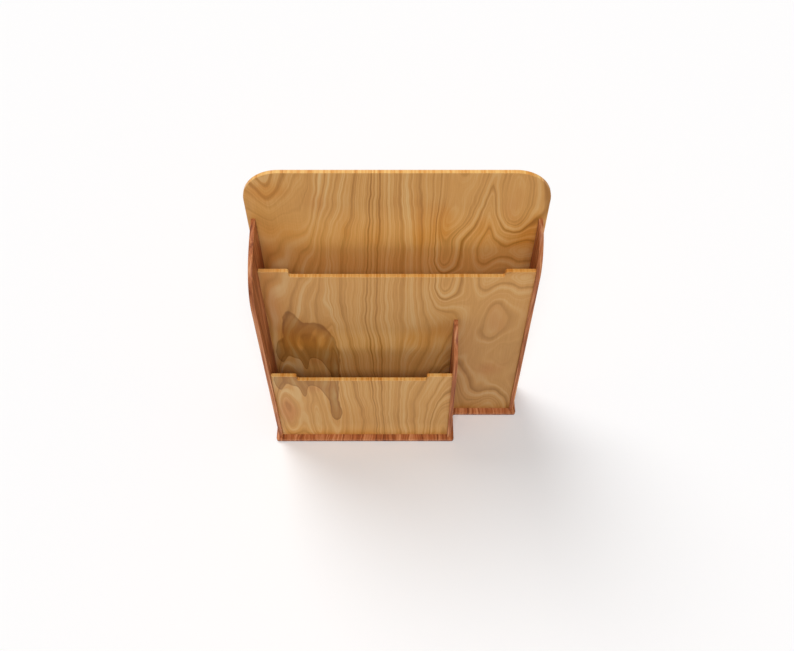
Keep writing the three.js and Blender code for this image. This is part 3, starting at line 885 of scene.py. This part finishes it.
# %% Material: wood filler
# Dry wood paste, rubbed flush. The eye gets a small matt spot, a shade duller than the board.
def wood_filler(name, dark, middle, pale):
    material, tree = new_material(name)
    place = add_node(tree, "ShaderNodeTexCoord").outputs["Object"]
    place_mm = add_node(tree, "ShaderNodeVectorMath", {"Vector": place, "Scale": 1000}, operation="SCALE")
    grit = add_node(tree, "ShaderNodeGroup", {"Place": place_mm, "Size": (0.25, 0.25, 0.25), "Shift": 2.0,
                                              "Detail": 3.0}, node_tree=wander)
    colour = add_node(tree, "ShaderNodeGroup", {"Shade": grit, "Dark": linear(dark), "Middle": linear(middle),
                                                "Pale": linear(pale)}, node_tree=three_tones)
    roughness = add_node(tree, "ShaderNodeMapRange", [grit, -1.0, 1.0, 0.9, 0.7])
    bump = add_node(tree, "ShaderNodeBump", {"Strength": 0.4, "Distance": 0.00005, "Height": grit})
    dry_paste = add_node(tree, "ShaderNodeBsdfPrincipled", {"Base Color": colour, "Roughness": roughness,
                                                           "Specular IOR Level": 0.2, "Normal": bump})
    add_node(tree, "ShaderNodeOutputMaterial", [dry_paste])
    return material


# %% Geometry Nodes: the dished disc
PLUG_RADIUS = 0.0015
PLUG_DEPTH = 0.0005
PLUG_DISH = 0.00015
PLUG_SIDES = 20
PLUG_RINGS = 4


def dished_disc(tree, given):
    disc = add_node(tree, "GeometryNodeMeshCylinder",
                    {"Vertices": PLUG_SIDES, "Fill Segments": PLUG_RINGS, "Radius": given["Radius"],
                     "Depth": given["Depth"]}, fill_type="TRIANGLE_FAN")
    place = add_node(tree, "GeometryNodeInputPosition")
    axes = add_node(tree, "ShaderNodeSeparateXYZ", [place]).outputs
    flat = add_node(tree, "ShaderNodeCombineXYZ", {"X": axes["X"], "Y": axes["Y"]})
    out = add_node(tree, "ShaderNodeVectorMath", [flat], operation="LENGTH").outputs["Value"]
    out = add_node(tree, "ShaderNodeMath", [out, given["Radius"]], operation="DIVIDE")
    squared = add_node(tree, "ShaderNodeMath", [out, 2.0], operation="POWER")
    inward = add_node(tree, "ShaderNodeMath", [1.0, squared], operation="SUBTRACT")
    on_face = add_node(tree, "ShaderNodeMath", [axes["Z"], 0.0], operation="GREATER_THAN")
    dished = add_node(tree, "ShaderNodeMath", [inward, on_face], operation="MULTIPLY")
    sunk = add_node(tree, "ShaderNodeMath", [dished, given["Dish"]], operation="MULTIPLY")
    below = add_node(tree, "ShaderNodeMath", [sunk, -1.0], operation="MULTIPLY")
    offset = add_node(tree, "ShaderNodeCombineXYZ", {"Z": below})
    return add_node(tree, "GeometryNodeSetPosition", {"Geometry": disc, "Offset": offset})


# %% Geometry Nodes: one disc at each point
SMALLEST_PLUG = 0.93


def plug_tree():
    tree = bpy.data.node_groups.new("dished_plugs", "GeometryNodeTree")
    sockets = (("Points", "INPUT", "NodeSocketGeometry"), ("Radius", "INPUT", "NodeSocketFloat"),
               ("Depth", "INPUT", "NodeSocketFloat"), ("Dish", "INPUT", "NodeSocketFloat"),
               ("Tilt", "INPUT", "NodeSocketRotation"), ("Finish", "INPUT", "NodeSocketMaterial"),
               ("Seed", "INPUT", "NodeSocketInt"), ("Plugs", "OUTPUT", "NodeSocketGeometry"))
    for name, in_out, kind in sockets:
        tree.interface.new_socket(name=name, in_out=in_out, socket_type=kind)
    given = add_node(tree, "NodeGroupInput").outputs
    plug = dished_disc(tree, given)
    size = add_node(tree, "FunctionNodeRandomValue", {"Min": SMALLEST_PLUG, "Max": 1.0,
                                                      "Seed": given["Seed"]}, data_type="FLOAT")
    turn = add_node(tree, "FunctionNodeRandomValue", {"Min": 0.0, "Max": math.tau, "Seed": given["Seed"]},
                    data_type="FLOAT")
    turned = add_node(tree, "ShaderNodeCombineXYZ", {"Z": turn})
    own_turn = add_node(tree, "FunctionNodeEulerToRotation", [turned])
    facing = add_node(tree, "FunctionNodeRotateRotation", [given["Tilt"], own_turn], rotation_space="LOCAL")
    spread = add_node(tree, "ShaderNodeCombineXYZ", {"X": size, "Y": size, "Z": 1.0})
    placed = add_node(tree, "GeometryNodeInstanceOnPoints", {"Points": given["Points"], "Instance": plug,
                                                            "Rotation": facing, "Scale": spread})
    real = add_node(tree, "GeometryNodeRealizeInstances", [placed])
    finished = add_node(tree, "GeometryNodeSetMaterial", {"Geometry": real, "Material": given["Finish"]})
    add_node(tree, "NodeGroupOutput", [finished])
    return tree


plugs = plug_tree()


# %% Place the plugs
def add_plugs(name, points, tilt, finish):
    seeds = bpy.data.meshes.new(name + "_places")
    seeds.from_pydata(points, [], [])
    carrier = bpy.data.objects.new(name + "_places", seeds)
    bpy.context.scene.collection.objects.link(carrier)
    maker = carrier.modifiers.new("plugs", "NODES")
    maker.node_group = plugs
    values = {"Radius": PLUG_RADIUS, "Depth": PLUG_DEPTH, "Dish": PLUG_DISH, "Tilt": tilt, "Finish": finish,
              "Seed": 5}
    for socket in plugs.interface.items_tree:
        if socket.name in values:
            maker[socket.identifier] = values[socket.name]
    evaluated = carrier.evaluated_get(bpy.context.evaluated_depsgraph_get())
    mesh = bpy.data.meshes.new_from_object(evaluated)
    bpy.data.objects.remove(carrier)
    piece = bpy.data.objects.new(name, mesh)
    bpy.context.scene.collection.objects.link(piece)
    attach(piece, "root")
    print(name, len(points), "plugs,", len(mesh.polygons), "faces")


# A hair's breadth keeps each plug inside the face of its board.
FLUSH_GAP = 0.00004
FACING_DOWN = (math.pi, 0, 0)
FACING_BACK = (-math.pi / 2, 0, 0)
base_points = []
back_points = []
for pin in pins:
    low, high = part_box(pin)
    middle = (Vector(low) + Vector(high)) / 2
    if pin.startswith("base_pin"):
        base_points.append((middle.x, middle.y, PLUG_DEPTH / 2 + FLUSH_GAP))
    else:
        back_points.append((middle.x, cad_high[1] - PLUG_DEPTH / 2 - FLUSH_GAP, middle.z))

red_filler = wood_filler("red_wood_filler", "#7a4a30", "#8b593c", "#9c6848")
golden_filler = wood_filler("golden_wood_filler", "#b98a52", "#c89c65", "#d6ad78")
add_plugs("base_filler", base_points, FACING_DOWN, red_filler)
add_plugs("back_filler", back_points, FACING_BACK, golden_filler)

# %% Sizes
low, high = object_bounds()
print("visual model:", [round(v, 4) for v in Vector(high) - Vector(low)], "m")
